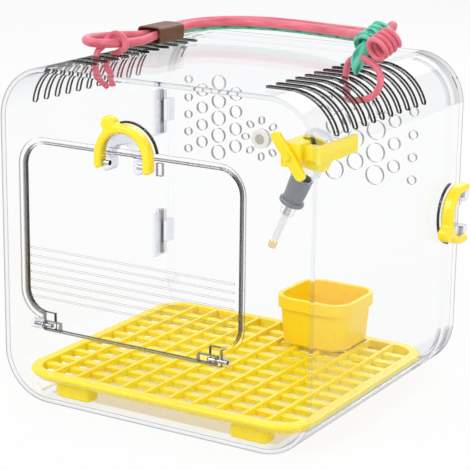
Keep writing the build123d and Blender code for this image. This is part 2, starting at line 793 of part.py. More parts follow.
# Food cup: a tapered tub with a raised band round its rim
cup_low = rim_top + long_bar_proud
cup_top = cup_low + cup_height
with BuildPart() as food_cup:
    with BuildSketch(Plane.XY.offset(cup_low)):
        with Locations((cup_x, cup_y)):
            RectangleRounded(cup_foot_x, cup_foot_y, cup_foot_corner_radius)
    with BuildSketch(Plane.XY.offset(cup_top)):
        with Locations((cup_x, cup_y)):
            RectangleRounded(cup_top_x, cup_top_y, cup_corner_radius)
    loft()
    fillet(food_cup.edges().group_by(Axis.Z)[0], cup_foot_round)
    with BuildSketch(Plane.XY.offset(cup_top)):
        with Locations((cup_x, cup_y)):
            band_x = cup_top_x + 2 * cup_band_proud
            band_y = cup_top_y + 2 * cup_band_proud
            RectangleRounded(band_x, band_y, cup_corner_radius + cup_band_proud)
    extrude(amount=-cup_band_height)
    with BuildSketch(Plane.XY.offset(cup_low + cup_wall)):
        with Locations((cup_x, cup_y)):
            RectangleRounded(cup_foot_x - 2 * cup_wall, cup_foot_y - 2 * cup_wall, cup_foot_corner_radius - cup_wall)
    with BuildSketch(Plane.XY.offset(cup_top)):
        with Locations((cup_x, cup_y)):
            RectangleRounded(cup_top_x - 2 * cup_wall, cup_top_y - 2 * cup_wall, cup_corner_radius - cup_wall)
    loft(mode=Mode.SUBTRACT)
    fillet(food_cup.edges().group_by(Axis.Z)[-1], cup_edge_round)
food_cup.part.label = "food_cup"
export_step(food_cup.part, "parts/food_cup.step")

# The drinker is turned about one tilted axis: profile points are (radius, distance along the axis from the tip)
tilt = math.radians(drinker_tilt)
drinker_tip = (side_x - drinker_from_side, front_y + drinker_from_front, height - drinker_from_top)
drinker_up = Vector(math.sin(tilt), 0, math.cos(tilt))
drinker_axis = Axis(drinker_tip, drinker_up)
drinker_side = Plane(origin=drinker_tip, x_dir=(math.cos(tilt), 0, -math.sin(tilt)), z_dir=(0, -1, 0))


def turned(points):
    """The solid made by turning a closed profile about the drinker's axis."""
    with BuildPart() as form:
        with BuildSketch(drinker_side):
            Polygon(*points, align=None)
        revolve(axis=drinker_axis)
    return form.part


def circles_at(part, radius, distance):
    """The circular edges of a drinker part that have this radius at this distance along its axis."""
    middle = Vector(drinker_tip) + drinker_up * distance
    rims = part.edges().filter_by(GeomType.CIRCLE)
    return rims.filter_by(lambda edge: abs(edge.radius - radius) < 0.01 and (edge.arc_center - middle).length < 0.01)


# Drinking tube with its metal tip and ball
with BuildPart() as sipper_tube:
    add(
        turned(
            (
                (tube_bore_radius, tube_start),
                (tube_radius, tube_start),
                (tube_radius, tube_end),
                (tube_bore_radius, tube_end),
            )
        )
    )
sipper_tube.part.label = "sipper_tube"
export_step(sipper_tube.part, "parts/sipper_tube.step")

with BuildPart() as tube_tip:
    add(
        turned(
            (
                (ball_mouth_radius, 0),
                (tip_radius, 0),
                (tip_radius, tip_length),
                (tube_radius, tip_length),
                (tube_radius, tube_start),
                (tube_bore_radius, tube_start),
                (tube_bore_radius, ball_mouth_depth),
                (ball_mouth_radius, ball_mouth_depth),
            )
        )
    )
    fillet(circles_at(tube_tip, tip_radius, 0), tip_round)
    fillet(circles_at(tube_tip, tip_radius, tip_length), tip_shoulder_round)
tube_tip.part.label = "tube_tip"
export_step(tube_tip.part, "parts/tube_tip.step")

ball_height = math.sqrt(ball_radius**2 - ball_mouth_radius**2) + ball_mouth_depth + ball_seat_gap
with BuildPart() as sipper_ball:
    with Locations(Vector(drinker_tip) + drinker_up * ball_height):
        Sphere(ball_radius)
sipper_ball.part.label = "sipper_ball"
export_step(sipper_ball.part, "parts/sipper_ball.step")

# Clear collar, grey cap with its flange, seal and bottle
with BuildPart() as tube_collar:
    collar_end = collar_start + collar_length
    add(
        turned(
            (
                (tube_radius, collar_start),
                (collar_radius, collar_start),
                (collar_radius, collar_end),
                (tube_radius, collar_end),
            )
        )
    )
    fillet(circles_at(tube_collar, collar_radius, collar_start), collar_round)
    fillet(circles_at(tube_collar, collar_radius, collar_end), collar_round)
tube_collar.part.label = "tube_collar"
export_step(tube_collar.part, "parts/tube_collar.step")

with BuildPart() as bottle_cap:
    flange_end = flange_start + flange_length
    add(
        turned(
            (
                (tube_radius, flange_start),
                (flange_radius, flange_start),
                (flange_radius, flange_end),
                (cap_low_radius, flange_end),
                (cap_top_radius, cap_end),
                (cap_bore_radius, cap_end),
                (cap_bore_radius, cap_bore_start),
                (tube_radius, cap_bore_start),
            )
        )
    )
    fillet(circles_at(bottle_cap, flange_radius, flange_start), flange_round)
    fillet(circles_at(bottle_cap, flange_radius, flange_end), flange_round)
bottle_cap.part.label = "bottle_cap"
export_step(bottle_cap.part, "parts/bottle_cap.step")

with BuildPart() as bottle_seal:
    seal_end = seal_start + seal_thickness
    add(
        turned(
            (
                (seal_hole_radius, seal_start),
                (seal_radius, seal_start),
                (seal_radius, seal_end),
                (seal_hole_radius, seal_end),
            )
        )
    )
bottle_seal.part.label = "bottle_seal"
export_step(bottle_seal.part, "parts/bottle_seal.step")

inner_end = bottle_end - bottle_wall
with BuildPart() as bottle_space:
    add(
        turned(
            (
                (0, seal_end - 1),
                (neck_radius - neck_wall, seal_end - 1),
                (neck_radius - neck_wall, bottle_shoulder_start + 0.5),
                (bottle_radius - bottle_wall, bottle_shoulder_end + 0.5),
                (bottle_radius - bottle_wall, inner_end),
                (0, inner_end),
            )
        )
    )
    fillet(circles_at(bottle_space, bottle_radius - bottle_wall, inner_end), bottle_end_round - bottle_wall)

with BuildPart() as bottle_body:
    add(
        turned(
            (
                (0, seal_end),
                (neck_radius, seal_end),
                (neck_radius, bottle_shoulder_start),
                (bottle_radius, bottle_shoulder_end),
                (bottle_radius, bottle_end),
                (0, bottle_end),
            )
        )
    )
    fillet(circles_at(bottle_body, bottle_radius, bottle_end), bottle_end_round)
    add(bottle_space.part, mode=Mode.SUBTRACT)
bottle_body.part.label = "bottle_body"
export_step(bottle_body.part, "parts/bottle_body.step")

# Bracket: a curved pad on the right wall, an arm, a ring round the bottle and a block for the lever
ring_middle = Vector(drinker_tip) + drinker_up * ((ring_start + ring_end) / 2)
ring_outer_radius = bottle_radius + ring_gap + ring_wall
block_x = ring_middle.X - block_left
block_z = ring_middle.Z + block_rise
block_front_y = drinker_tip[1] - block_front
pad_high_z = height - pad_drop
arm_y = drinker_tip[1] - arm_front + arm_width / 2
arm_low_z = pad_high_z - pad_height
with BuildPart() as bottle_bracket:
    with BuildSketch(upright(drinker_tip[1] + pad_back)):
        with Locations((0, middle_z)):
            RectangleRounded(inner_width, inner_height, inner_radius)
            pad_space = 2 * pad_thickness
            RectangleRounded(
                inner_width - pad_space, inner_height - pad_space, inner_radius - pad_thickness, mode=Mode.SUBTRACT
            )
        with Locations((side_x / 2, pad_high_z - pad_height / 2)):
            Rectangle(side_x, pad_height, mode=Mode.INTERSECT)
    extrude(amount=pad_front + pad_back)
    with Locations((block_x, arm_y, arm_low_z)):
        arm_align = (Align.MIN, Align.CENTER, Align.MIN)
        arm_end_x = side_x - wall - pad_thickness / 2
        Box(arm_end_x - block_x, arm_width, arm_height, align=arm_align)
    with Locations((block_x, drinker_tip[1], block_z)):
        block_align = (Align.CENTER, Align.MAX, Align.CENTER)
        Box(block_width, block_front, block_height, align=block_align)
    add(turned(((0, ring_start), (ring_outer_radius, ring_start), (ring_outer_radius, ring_end), (0, ring_end))))
    bore_radius = bottle_radius + ring_gap
    ring_bore = turned(((0, 0), (bore_radius, 0), (bore_radius, 2 * bottle_end), (0, 2 * bottle_end)))
    add(ring_bore, mode=Mode.SUBTRACT)
    with Locations((block_x, block_front_y + lever_pin_depth / 2, block_z)):
        Cylinder(lever_pin_radius, lever_pin_depth + 0.02, rotation=(90, 0, 0), mode=Mode.SUBTRACT)
bottle_bracket.part.label = "bottle_bracket"
export_step(bottle_bracket.part, "parts/bottle_bracket.step")

with BuildPart() as clamp_lever:
    with BuildSketch(upright(block_front_y - lever_gap)):
        with Locations((block_x, block_z)):
            SlotOverall(lever_length, 2 * lever_radius, rotation=lever_angle)
            Circle(lever_pin_radius + hinge_running_gap, mode=Mode.SUBTRACT)
    extrude(amount=lever_thickness)
    lever_rims = clamp_lever.edges().filter_by(GeomType.CIRCLE).filter_by(lambda edge: edge.radius > lever_radius - 1)
    lever_sides = clamp_lever.edges().filter_by(GeomType.LINE).filter_by(Axis.Y, reverse=True)
    fillet(lever_rims + lever_sides, lever_edge_round)
clamp_lever.part.label = "clamp_lever"
export_step(clamp_lever.part, "parts/clamp_lever.step")

lever_front_y = block_front_y - lever_gap - lever_thickness
with BuildPart() as lever_pin:
    with BuildSketch(upright(block_front_y + lever_pin_depth)):
        with Locations((block_x, block_z)):
            Circle(lever_pin_radius)
    extrude(amount=lever_pin_depth + 2 * lever_gap + lever_thickness)
    with BuildSketch(upright(lever_front_y - lever_gap)):
        with Locations((block_x, block_z)):
            Circle(lever_pin_head_radius)
    extrude(amount=lever_pin_head_height)
lever_pin.part.label = "lever_pin"
export_step(lever_pin.part, "parts/lever_pin.step")


def bend_radii(points):
    """The largest arc that two neighbouring runs allow at each inner point."""
    radii = []
    for before, here, after in zip(points, points[1:], points[2:]):
        run_in = Vector(here) - Vector(before)
        run_out = Vector(after) - Vector(here)
        half_turn = math.radians(run_in.get_angle(run_out)) / 2
        radii.append(0.45 * min(run_in.length, run_out.length) / math.tan(half_turn))
    return radii


def cord(name, points, diameter):
    """A round cord along straight runs joined by tangent arcs; prints its radii and checks its volume."""
    radii = bend_radii(points)
    with BuildPart() as tube:
        with BuildLine() as route:
            FilletPolyline(*points, radius=radii)
        path = route.wire()
        with BuildSketch(Plane(origin=path @ 0, z_dir=path % 0)):
            Circle(diameter / 2)
        sweep(path=path)
    section = math.pi * diameter**2 / 4
    ratio = tube.part.volume / (section * path.length)
    print(name, "length", round(path.length, 1), "radii", [round(radius, 1) for radius in radii])
    print(name, "volume over section times length", round(ratio, 4), "valid", tube.part.is_valid)
    return tube.part


def helix_point(frame, radius, pitch, angle):
    """The place on a helix about the frame's axis at this angle, and the unit tangent there."""
    rise = pitch / (2 * math.pi)
    spot = frame.from_local_coords(Vector(radius * math.cos(angle), radius * math.sin(angle), rise * angle))
    ahead = Vector(-radius * math.sin(angle), radius * math.cos(angle), rise)
    tangent = frame.x_dir * ahead.X + frame.y_dir * ahead.Y + frame.z_dir * ahead.Z
    return spot, tangent.normalized()


def coil(name, start, direction, radius, pitch, turns, diameter):
    """One unbroken winding, swept on two tangent arcs for each half turn; prints its least gap to itself."""
    frame = Plane(origin=start, z_dir=direction)
    with BuildPart() as winding:
        with BuildLine() as route:
            for half in range(2 * turns):
                first, leaving = helix_point(frame, radius, pitch, half * math.pi)
                last, arriving = helix_point(frame, radius, pitch, (half + 1) * math.pi)
                chord = last - first
                both = leaving + arriving
                spread = 2 * (1 - leaving.dot(arriving))
                along = chord.dot(both)
                reach = (math.sqrt(along**2 + spread * chord.dot(chord)) - along) / spread
                middle = (first + leaving * reach + last - arriving * reach) / 2
                onward = (middle - first - leaving * reach).normalized()
                TangentArc(first, middle, tangent=leaving)
                TangentArc(middle, last, tangent=onward)
        path = route.wire()
        with BuildSketch(Plane(origin=path @ 0, z_dir=path % 0)):
            Circle(diameter / 2)
        sweep(path=path)
    count = 24 * turns
    spots = [path @ (index / count) for index in range(count + 1)]
    gaps = [(spots[i] - spots[j]).length for i in range(count + 1) for j in range(i + 14, count + 1)]
    section = math.pi * diameter**2 / 4
    ratio = winding.part.volume / (section * path.length)
    print(name, "length", round(path.length, 1), "least gap to itself", round(min(gaps) - diameter, 2))
    print(name, "volume over section times length", round(ratio, 4), "valid", winding.part.is_valid)
    return winding.part


# The handle's two strands and its left bight are one cord; the rest are shorter cords tied to it
cords = (
    ("handle_rope", handle_route, thick_cord),
    ("mint_strand", mint_route, mint_cord),
    ("hitch_loop", hitch_route, thin_cord),
    ("ring_loop", ring_route, thin_cord),
)
for name, route_points, diameter in cords:
    strand = cord(name, route_points, diameter)
    strand.label = name
    export_step(strand, f"parts/{name}.step")

# Thick braided tail that hangs out of the knot, with a round end
with BuildPart() as knot_tail:
    add(cord("knot_tail", tail_route, tail_cord))
    with Locations(tail_route[-1]):
        Sphere(tail_cord / 2)
knot_tail.part.label = "knot_tail"
export_step(knot_tail.part, "parts/knot_tail.step")

# The knot's two windings
coils = (
    ("mint_coil", mint_coil_start, mint_coil_radius, mint_coil_turns),
    ("pink_coil", pink_coil_start, pink_coil_radius, pink_coil_turns),
)
for name, start, radius, turns in coils:
    wound = coil(name, start, coil_direction, radius, coil_pitch, turns, coil_cord)
    wound.label = name
    export_step(wound, f"parts/{name}.step")

# Flat brown sleeve round the two strands
with BuildPart() as rope_sleeve:
    with BuildSketch(upright(sleeve_middle[1])):
        with Locations((sleeve_middle[0], sleeve_middle[2])):
            RectangleRounded(sleeve_width, sleeve_height, sleeve_height / 2 - 0.5)
            bore_height = sleeve_height - 2 * sleeve_wall
            bore_width = sleeve_width - 2 * sleeve_wall
            RectangleRounded(bore_width, bore_height, bore_height / 2 - 0.5, mode=Mode.SUBTRACT)
    extrude(amount=sleeve_length)
rope_sleeve.part.label = "rope_sleeve"
export_step(rope_sleeve.part, "parts/rope_sleeve.step")
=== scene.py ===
"""Portable clear cage with a rope handle: finishes, cords, studio and camera."""

from __future__ import annotations

import json
import logging
import math
from dataclasses import dataclass
from enum import Enum
from typing import Any, ClassVar

import bmesh
import bpy
from mathutils import Matrix, Vector

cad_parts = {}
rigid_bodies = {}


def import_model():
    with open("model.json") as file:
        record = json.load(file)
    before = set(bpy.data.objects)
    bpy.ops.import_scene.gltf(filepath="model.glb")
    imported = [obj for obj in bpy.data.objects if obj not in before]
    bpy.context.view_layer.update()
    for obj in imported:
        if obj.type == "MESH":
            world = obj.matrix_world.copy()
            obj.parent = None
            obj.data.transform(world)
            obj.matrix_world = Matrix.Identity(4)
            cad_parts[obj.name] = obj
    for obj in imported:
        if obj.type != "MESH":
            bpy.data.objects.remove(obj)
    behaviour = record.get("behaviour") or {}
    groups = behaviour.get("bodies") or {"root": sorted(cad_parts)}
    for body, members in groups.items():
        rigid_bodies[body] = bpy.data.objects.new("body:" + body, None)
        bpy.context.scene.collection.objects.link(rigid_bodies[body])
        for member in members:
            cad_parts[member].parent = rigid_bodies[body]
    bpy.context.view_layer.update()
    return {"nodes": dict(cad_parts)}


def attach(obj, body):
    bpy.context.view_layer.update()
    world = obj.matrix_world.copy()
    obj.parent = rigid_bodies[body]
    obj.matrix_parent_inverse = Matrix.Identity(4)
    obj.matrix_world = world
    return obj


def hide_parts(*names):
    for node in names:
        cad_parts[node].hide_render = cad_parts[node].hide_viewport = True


LOG = logging.getLogger("travel_cage")

Pair = tuple[float, float]
Point = tuple[float, float, float]
Colour = tuple[float, float, float, float]
Route = tuple[Point, ...]
Socket = bpy.types.NodeSocket
Node = bpy.types.Node

# A cord's rows and strands are divided by this to fit the wave texture's bands.
WAVE_UNIT = 20.0
# The wave texture's scale for a braid, which sets how close its strands lie.
BRAID_SCALE = 3.1830915


def grey(level: float) -> Colour:
    """Returns an opaque grey of the given level."""
    return (level, level, level, 1.0)


class Coordinates(Enum):
    """What a pattern follows."""

    PLACE = "Object"
    FACING = "Normal"
    ALONG = "UV"


class Graph:
    """The node tree of a material or a world, with short calls that add nodes."""

    def __init__(self, owner: bpy.types.ID, output: str = "OutputMaterial") -> None:
        """Empties the owner's tree and gives it an output.

        Args:
            owner: the material or the world.
            output: the kind of its output node.
        """
        owner.use_nodes = True
        self.owner = owner
        self.tree = owner.node_tree
        self.tree.nodes.clear()
        self.output = self.add(output)

    def add(self, kind: str, inputs: dict[Any, Any] | None = None,
            **settings: Any) -> Node:
        """Adds a node.

        Args:
            kind: the node's type name without its ShaderNode prefix.
            inputs: values or sockets for its inputs, by name or number.
            **settings: the node's own settings.

        Returns:
            The new node.
        """
        node = self.tree.nodes.new("ShaderNode" + kind)
        for name, value in settings.items():
            setattr(node, name, value)
        for name, value in (inputs or {}).items():
            self.feed(node.inputs[name], value)
        return node

    def feed(self, socket: Socket, value: Any) -> None:
        """Joins a socket to an input, or sets the input's own value.

        Args:
            socket: the input.
            value: another node's socket or a plain value.
        """
        if isinstance(value, bpy.types.NodeSocket):
            self.tree.links.new(value, socket)
        else:
            socket.default_value = value

    def coordinates(self, source: Coordinates, scale: Point = (1, 1, 1)) -> Socket:
        """Returns the scaled coordinates that a pattern follows."""
        place = self.add("TexCoord").outputs[source.value]
        return self.add("Mapping", {"Vector": place, "Scale": scale}).outputs["Vector"]

    def noise(self, vector: Socket, scale: float, detail: float = 3.0) -> Socket:
        """Returns a noise value of the given scale."""
        inputs = {"Vector": vector, "Scale": scale, "Detail": detail}
        return self.add("TexNoise", inputs).outputs["Fac"]

    def crossed(self, along: float, around: float, scale: float,
                wobble: float) -> list[Socket]:
        """Builds two sets of slanted bands that cross on a cord's own map.

        Args:
            along: the map's scale along the cord.
            around: the map's scale round the cord.
            scale: the scale of the bands.
            wobble: how uneven the bands are.

        Returns:
            The two values.
        """
        return [
            self.add("TexWave", {
                "Vector": self.coordinates(
                    Coordinates.ALONG, (along, around * side, 1.0)),
                "Scale": scale,
                "Distortion": wobble,
            }, wave_type="BANDS", bands_direction="DIAGONAL").outputs["Fac"]
            for side in (1.0, -1.0)
        ]

    def maths(self, operation: str, first: Any, second: Any = 0.0) -> Socket:
        """Returns the result of one sum on two values."""
        node = self.add("Math", {0: first, 1: second}, operation=operation)
        return node.outputs[0]

    def product(self, first: Any, *others: Any) -> Any:
        """Returns the product of all the values."""
        for other in others:
            first = self.maths("MULTIPLY", first, other)
        return first

    def ramp(self, factor: Socket, *stops: tuple[float, Colour]) -> Socket:
        """Builds a colour ramp.

        Args:
            factor: the value that picks the colour.
            *stops: places from 0 to 1 with their colours.

        Returns:
            The colour socket.
        """
        node = self.add("ValToRGB", {"Fac": factor})
        band = node.color_ramp
        while len(band.elements) < len(stops):
            band.elements.new(0.5)
        for element, (place, colour) in zip(band.elements, stops):
            element.position = place
            element.color = colour
        return node.outputs["Color"]

    def levels(self, factor: Socket, band: Pair, ends: Pair = (0.0, 1.0),
               middle: float = 1.0) -> Socket:
        """Builds a level that runs from one value to another.

        Args:
            factor: the value that picks the level.
            band: the factors between which the level changes.
            ends: the level at each end of the band.
            middle: a value that both ends are shares of.

        Returns:
            The level's socket.
        """
        low, high = (grey(middle * end) for end in ends)
        return self.ramp(factor, (band[0], low), (band[1], high))

    def sides(self, source: Coordinates) -> bpy.types.bpy_prop_collection:
        """Returns the three parts of a place or of the way a face looks."""
        vector = self.add("TexCoord").outputs[source.value]
        return self.add("SeparateXYZ", {0: vector}).outputs

    def within(self, low: Point, high: Point) -> Socket:
        """Marks the inside of a box of the frame.

        Args:
            low: the box's lowest corner.
            high: the box's highest corner.

        Returns:
            A value, 1 inside the box and 0 outside it.
        """
        share: Any = 1.0
        for side, start, end in zip(self.sides(Coordinates.PLACE), low, high):
            above = self.maths("GREATER_THAN", side, start)
            below = self.maths("LESS_THAN", side, end)
            share = self.product(share, above, below)
        return share

    def mix(self, factor: Any, first: Any, second: Any) -> Socket:
        """Blends two colours.

        Args:
            factor: the share of the second colour.
            first: a colour or its socket.
            second: a colour or its socket.

        Returns:
            The blend's socket.
        """
        inputs = {0: factor, 6: first, 7: second}
        return self.add("Mix", inputs, data_type="RGBA").outputs[2]

    def blend(self, factor: Any, first: Node, second: Node) -> Node:
        """Returns a blend of two shaders."""
        ends = {1: first.outputs[0], 2: second.outputs[0]}
        return self.add("MixShader", {0: factor, **ends})

    def bump(self, height: Socket, distance: float) -> Socket:
        """Returns a normal that is raised by a height value."""
        node = self.add("Bump", {"Height": height, "Distance": distance})
        return node.outputs["Normal"]

    def finish(self, shader: Node) -> bpy.types.ID:
        """Joins the shader to the output and returns the material or world."""
        self.tree.links.new(shader.outputs[0], self.output.inputs["Surface"])
        return self.owner


@dataclass(frozen=True)
class Finish:
    """A named finish, whose kinds each build a material of their own."""

    name: str

    def graph(self) -> Graph:
        """Returns the node tree of a new material under the finish's name."""
        return Graph(bpy.data.materials.new(self.name))

    def material(self) -> bpy.types.Material:
        """Builds the finish."""
        raise NotImplementedError


@dataclass(frozen=True)
class MouldedPlastic(Finish):
    """Opaque moulded plastic with a soft gloss and a faint uneven surface."""

    colour: Colour
    deep: Colour
    roughness: float = 0.3
    glow: float = 0.0
    glow_reach: Point = (0.008, 0.004, 0.001)
    cloud_scale: float = 22.0
    cloud: Pair = (0.35, 0.75)
    polish_scale: float = 160.0
    polish: Pair = (0.3, 0.7)
    polish_shares: Pair = (0.85, 1.2)
    grain_scale: float = 1500.0
    grain_depth: float = 0.00004

    def material(self) -> bpy.types.Material:
        """Builds the finish.

        Returns:
            The material.
        """
        g = self.graph()
        place = g.coordinates(Coordinates.PLACE)
        cloud = g.levels(g.noise(place, self.cloud_scale), self.cloud)
        polish = g.noise(place, self.polish_scale)
        grain = g.noise(place, self.grain_scale, 2.0)
        return g.finish(g.add("BsdfPrincipled", {
            "Base Color": g.mix(cloud, self.colour, self.deep),
            "Roughness": g.levels(
                polish, self.polish, self.polish_shares, self.roughness),
            "Normal": g.bump(grain, self.grain_depth),
            "Subsurface Weight": self.glow,
            "Subsurface Radius": self.glow_reach,
            "Subsurface Scale": 1.0,
        }))


class Cut(Enum):
    """How a clear wall is cut through."""

    FACE = "faces square to the front and back walls"
    SLOT = "walls of the vent slots that cross the two top corners"


@dataclass(frozen=True)
class CutFaces:
    """The narrow faces where a clear wall is cut through, painted dark: painted shade
    for the dark that a clear cut face shows.

    A slot's walls are found from the round corner that it crosses: corner_x and
    corner_z give the corner's middle line, and dark_from is the distance from it
    at which the outer part of the wall's thickness starts.
    """

    kind: Cut
    low: Point
    high: Point
    colour: Colour
    strength: float = 1.0
    lean: float = 0.6
    corner_x: float = 0.088
    corner_z: float = 0.205
    dark_from: float = 0.0353

    def share(self, g: Graph) -> Socket:
        """Measures how much of the dark finish a face shows.

        Args:
            g: the wall's node tree.

        Returns:
            A value, 0 where a face looks out of the wall and the strength on a cut.
        """
        facing = g.sides(Coordinates.FACING)
        inside = g.within(self.low, self.high)
        if self.kind is Cut.FACE:
            cut = g.maths("LESS_THAN", g.maths("ABSOLUTE", facing[1]), self.lean)
            return g.product(cut, inside, self.strength)
        place = g.sides(Coordinates.PLACE)
        aside = g.maths("SUBTRACT", g.maths("ABSOLUTE", place[0]), self.corner_x)
        aside = g.maths("MAXIMUM", aside, 0.0)
        above = g.maths("SUBTRACT", place[2], self.corner_z)
        above = g.maths("MAXIMUM", above, 0.0)
        outwards = g.product(facing[0], g.maths("SIGN", place[0]), aside)
        along = g.maths("ADD", outwards, g.product(facing[2], above))
        squares = [g.maths("POWER", side, 2.0) for side in (aside, above)]
        reach = g.maths("SQRT", g.maths("ADD", *squares))
        turned = g.maths("ABSOLUTE", g.maths("DIVIDE", along, reach))
        cut = g.maths("LESS_THAN", turned, self.lean)
        outer = g.maths("GREATER_THAN", reach, self.dark_from)
        return g.product(cut, inside, outer, self.strength)


@dataclass(frozen=True)
class PaintedGrateGlowAndShade:
    """Painted light: the warm glow and the shade that the yellow grate throws on the
    clear floor under it, painted into the floor's tint.
    """

    colour: Colour = (0.72, 0.56, 0.3, 1.0)
    low: Point = (-0.106, -0.1, 0.0025)
    high: Point = (0.106, 0.104, 0.0035)


@dataclass(frozen=True)
class ClearPlastic(Finish):
    """Clear moulded plastic: it barely bends light, and painted shade greys it round
    its curves.
    """

    tint: Colour = (0.987, 0.989, 0.992, 1.0)
    # The slant, curve and edge tints are painted shade, darker at glancing angles in
    # place of the dark that refraction and reflection give.
    slant: Colour = (0.955, 0.96, 0.97, 1.0)
    curve: Colour = (0.82, 0.83, 0.85, 1.0)
    edge_shade: Colour = (0.1, 0.1, 0.11, 1.0)
    roughness: float = 0.02
    gloss: float = 0.12
    bend: float = 1.01
    cuts: tuple[CutFaces, ...] = ()
    # The floor under the grate gets painted glow and shade.
    floor: PaintedGrateGlowAndShade | None = None
    flat_stops: Pair = (0.5, 0.85)
    curve_stops: Point = (0.4, 0.8, 0.97)
    flat_above: float = 0.998
    most_walls: float = 9.0
    haze_scale: float = 45.0
    haze: Pair = (0.4, 0.8)
    haze_shares: Pair = (0.5, 1.6)

    def shade(self, g: Graph) -> Socket:
        """Builds the tint, with painted shade that greys it where a wall slants or
        curves away.

        Args:
            g: the wall's node tree.

        Returns:
            The tint's socket.
        """
        slant = g.add("LayerWeight", {"Blend": 0.5}).outputs["Facing"]
        sides = [g.maths("ABSOLUTE", side) for side in g.sides(Coordinates.FACING)]
        square = g.maths("MAXIMUM", g.maths("MAXIMUM", *sides[:2]), sides[2])
        # Painted shade: flat walls grey at glancing angles, and curved ones grey to
        # nearly black at their edges.
        flat_shade = g.ramp(slant, *zip(self.flat_stops, (self.tint, self.slant)))
        colours = (self.tint, self.curve, self.edge_shade)
        curved_shade = g.ramp(slant, *zip(self.curve_stops, colours))
        tint = g.mix(g.maths("LESS_THAN", square, self.flat_above), flat_shade, curved_shade)
        # Painted light: the clear floor under the grate takes the grate's painted warm
        # glow and shade.
        if self.floor:
            under = g.within(self.floor.low, self.floor.high)
            tint = g.mix(under, tint, self.floor.colour)
        return tint

    def let_light_through(self, g: Graph, wall: Node) -> Node:
        """Makes a wall open to shadow and soft light, and behind many walls.

        Args:
            g: the wall's node tree.
            wall: the wall's shader.

        Returns:
            The shader that stands for it.
        """
        path = g.add("LightPath").outputs
        soft = g.maths("MAXIMUM", path["Is Shadow Ray"], path["Is Diffuse Ray"])
        deep = g.maths("GREATER_THAN", path["Transmission Depth"], self.most_walls)
        open_air = g.add("BsdfTransparent", {"Color": self.tint})
        return g.blend(g.maths("MAXIMUM", soft, deep), wall, open_air)

    def material(self) -> bpy.types.Material:
        """Builds the finish.

        Returns:
            The material.
        """
        g = self.graph()
        haze = g.noise(g.coordinates(Coordinates.PLACE), self.haze_scale)
        shown = self.let_light_through(g, g.add("BsdfPrincipled", {
            "Base Color": self.shade(g),
            "Roughness": g.levels(haze, self.haze, self.haze_shares, self.roughness),
            "Transmission Weight": 1.0,
            "IOR": self.bend,
            "Coat Weight": self.gloss,
            "Coat Roughness": 0.03,
        }))
        for cut in self.cuts:
            # Painted shade: each cut face shows an opaque dark finish.
            painted_shade = g.add(
                "BsdfPrincipled", {"Base Color": cut.colour, "Roughness": 0.25})
            shown = g.blend(cut.share(g), shown, painted_shade)
        return g.finish(shown)


@dataclass(frozen=True)
class Metal(Finish):
    """Bare metal with fine drawing marks."""

    colour: Colour
    roughness: float = 0.22
    marks_scale: float = 900.0
    marks_stretch: Point = (1, 1, 6)
    marks: Pair = (0.3, 0.7)
    marks_shares: Pair = (0.7, 1.4)
    marks_depth: float = 0.00002

    def material(self) -> bpy.types.Material:
        """Builds the finish.

        Returns:
            The material.
        """
        g = self.graph()
        place = g.coordinates(Coordinates.PLACE, self.marks_stretch)
        marks = g.noise(place, self.marks_scale)
        return g.finish(g.add("BsdfPrincipled", {
            "Base Color": self.colour,
            "Metallic": 1.0,
            "Roughness": g.levels(
                marks, self.marks, self.marks_shares, self.roughness),
            "Normal": g.bump(marks, self.marks_depth),
        }))


@dataclass(frozen=True)
class SleevedCord(Finish):
    """Round cord in a soft sleeve, with long streaks and a fine weave whose height
    paints shade into its colour.
    """

    light: Colour
    deep: Colour
    length: float
    around: float
    row: float = 0.0016
    wobble: float = 0.6
    weave_painted_shade: float = 0.25
    weave_depth: float = 0.00012
    streaks: Pair = (0.3, 0.75)
    streaks_per_metre: float = 40.0
    streaks_around: float = 2.0

    def material(self) -> bpy.types.Material:
        """Builds the finish.

        Returns:
            The material.
        """
        g = self.graph()
        stretch = (self.length * self.streaks_per_metre, self.streaks_around, 1.0)
        streak = g.noise(g.coordinates(Coordinates.ALONG, stretch), 1.0, 2.0)
        along = self.length / self.row / WAVE_UNIT
        height = g.product(*g.crossed(along, self.around, 1.0, self.wobble))
        colour = g.mix(g.levels(streak, self.streaks), self.light, self.deep)
        return g.finish(g.add("BsdfPrincipled", {
            # Painted shade: the weave's height darkens the colour towards the deep
            # pink.
            "Base Color": g.mix(
                g.product(height, self.weave_painted_shade), colour, self.deep),
            "Roughness": 0.52,
            "Sheen Weight": 0.3,
            "Sheen Roughness": 0.4,
            "Normal": g.bump(height, self.weave_depth),
        }))


@dataclass(frozen=True)
class BraidedCord(Finish):
    """Cord with an open braid of raised strands, with painted shade in the braid's
    valleys.
    """

    crest: Colour
    valley_shade: Colour
    length: float
    pitch: float = 0.0042
    strands: float = 5.0
    fuzz_scale: float = 2600.0
    fuzz_share: float = 0.25
    rise: Pair = (0.3, 0.95)
    braid_depth: float = 0.0003

    def material(self) -> bpy.types.Material:
        """Builds the finish.

        Returns:
            The material.
        """
        g = self.graph()
        along = self.length / self.pitch / WAVE_UNIT
        around = self.strands / WAVE_UNIT * 2.0
        braid = g.maths("MAXIMUM", *g.crossed(along, around, BRAID_SCALE, 0.0))
        fuzz = g.noise(g.coordinates(Coordinates.PLACE), self.fuzz_scale)
        level = g.maths("ADD", braid, g.product(fuzz, self.fuzz_share))
        return g.finish(g.add("BsdfPrincipled", {
            # Painted shade: the braid's low places take the deep colour, and its
            # crests the light one.
            "Base Color": g.ramp(level, *zip(self.rise, (self.valley_shade, self.crest))),
            "Roughness": 0.62,
            "Sheen Weight": 0.25,
            "Normal": g.bump(level, self.braid_depth),
        }))


